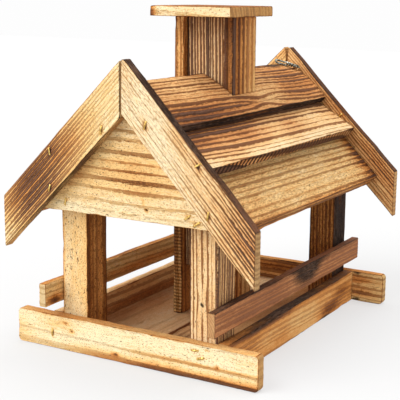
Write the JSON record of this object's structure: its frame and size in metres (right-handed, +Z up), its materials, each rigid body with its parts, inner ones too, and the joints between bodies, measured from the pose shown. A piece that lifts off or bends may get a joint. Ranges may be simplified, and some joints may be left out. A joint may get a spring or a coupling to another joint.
{
  "type": "bird feeder",
  "caption": "Wooden table feeder with a gabled roof of lapped boards on square posts, a skirted floor, side rails and a feed chute capped like a chimney.",
  "frame": {"origin": "middle of the overall box, on the plane of the skirt boards' lower edges", "axes": "+X to the right seen from the front gable, +Y from the front gable to the rear one, +Z up"},
  "size_m": [0.2228, 0.2862, 0.2711],
  "materials": {
    "pale_wood": "flamed and brushed softwood, mostly pale",
    "flamed_wood": "flamed and brushed softwood, orange brown with dark grain",
    "charred_wood": "flamed softwood, charred dark in places",
    "galvanised_wire": "dull galvanised"
  },
  "bodies": {
    "root": {"front_skirt_board": "pale_wood", "rear_skirt_board": "pale_wood", "left_skirt_board": "flamed_wood", "right_skirt_board": "flamed_wood", "left_floor_board": "charred_wood", "right_floor_board": "charred_wood", "front_left_post": "pale_wood", "front_right_post": "pale_wood", "rear_left_post": "flamed_wood", "rear_right_post": "flamed_wood", "left_rail": "flamed_wood", "right_rail": "flamed_wood", "front_gable_board": "pale_wood", "rear_gable_board": "pale_wood", "front_left_bargeboard": "pale_wood", "front_right_bargeboard": "pale_wood", "rear_left_bargeboard": "pale_wood", "rear_right_bargeboard": "pale_wood", "left_eave_board": "flamed_wood", "right_eave_board": "flamed_wood", "left_middle_board": "flamed_wood", "right_middle_board": "flamed_wood", "left_ridge_board": "flamed_wood", "right_ridge_board": "flamed_wood", "chimney_left_board": "flamed_wood", "chimney_right_board": "flamed_wood", "chimney_front_board": "charred_wood", "chimney_rear_board": "charred_wood", "chimney_cap": "pale_wood", "front_hanging_wire": "galvanised_wire", "rear_hanging_wire": "galvanised_wire"}
  },
  "joints": []
}
